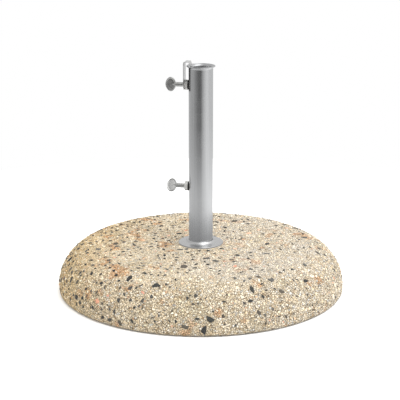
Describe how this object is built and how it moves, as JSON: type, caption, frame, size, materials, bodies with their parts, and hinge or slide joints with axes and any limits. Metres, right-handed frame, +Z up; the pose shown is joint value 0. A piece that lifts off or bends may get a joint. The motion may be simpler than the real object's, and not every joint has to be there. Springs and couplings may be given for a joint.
{
  "type": "parasol base",
  "caption": "Round washed-concrete parasol base with a flared steel standpipe, a domed rosette, side clamping screws with flat paddles and a clamp strip hooked over the rim.",
  "frame": {"origin": "on the floor, under the standpipe's axis", "axes": "+Z up along the standpipe, both clamping screws point along -X"},
  "size_m": [0.6, 0.6, 0.4812],
  "materials": {
    "washed_concrete": "exposed aggregate of cream, grey, dark and orange pebbles in light mortar",
    "brushed_pipe": "fine lengthwise brushed stainless",
    "satin_rosette": "satin pressed sheet",
    "spring_strip": "bright rolled strip",
    "bright_zinc": "bright zinc plated",
    "polished_screw": "polished, with turned thread",
    "black_rubber": "matt moulded",
    "black_plastic": "matt moulded"
  },
  "bodies": {
    "stand": {"concrete_base": "washed_concrete", "floor_pads": "black_rubber", "centre_bolt": "bright_zinc", "spring_washer": "bright_zinc", "wide_washer": "bright_zinc", "foot_plate": "brushed_pipe", "stand_pipe": "brushed_pipe", "upper_insert": "polished_screw", "lower_insert": "polished_screw", "upper_seal_ring": "black_rubber", "lower_seal_ring": "black_rubber", "clamp_strip": "spring_strip"},
    "rosette": {"cover_rosette": "satin_rosette"},
    "upper_tip": {"upper_tip_cap": "black_plastic"},
    "upper_clamp": {"upper_screw": "polished_screw"},
    "lower_tip": {"lower_tip_cap": "black_plastic"},
    "lower_clamp": {"lower_screw": "polished_screw"}
  },
  "joints": [
    {"name": "rosette_lift", "type": "slide", "parent": "stand", "child": "rosette", "axis": [0, 0, 1], "range_m": [0, 0.095]},
    {"name": "upper_travel", "type": "slide", "parent": "stand", "child": "upper_tip", "axis": [1, 0, 0], "range_m": [-0.003, 0.0135], "deforming": ["clamp_strip"]},
    {"name": "upper_turn", "type": "hinge", "parent": "upper_tip", "child": "upper_clamp", "pos_m": [-0.03, 0, 0.433], "axis": [1, 0, 0], "range_deg": [-720, 3240]},
    {"name": "lower_travel", "type": "slide", "parent": "stand", "child": "lower_tip", "axis": [1, 0, 0], "range_m": [-0.004, 0.0125]},
    {"name": "lower_turn", "type": "hinge", "parent": "lower_tip", "child": "lower_clamp", "pos_m": [-0.029, 0, 0.219], "axis": [1, 0, 0], "range_deg": [-960, 3000]}
  ],
  "couplings": [
    {"joint": "upper_turn", "follows": "upper_travel", "rad_per_m": 4188.8},
    {"joint": "lower_turn", "follows": "lower_travel", "rad_per_m": 4188.8}
  ]
}
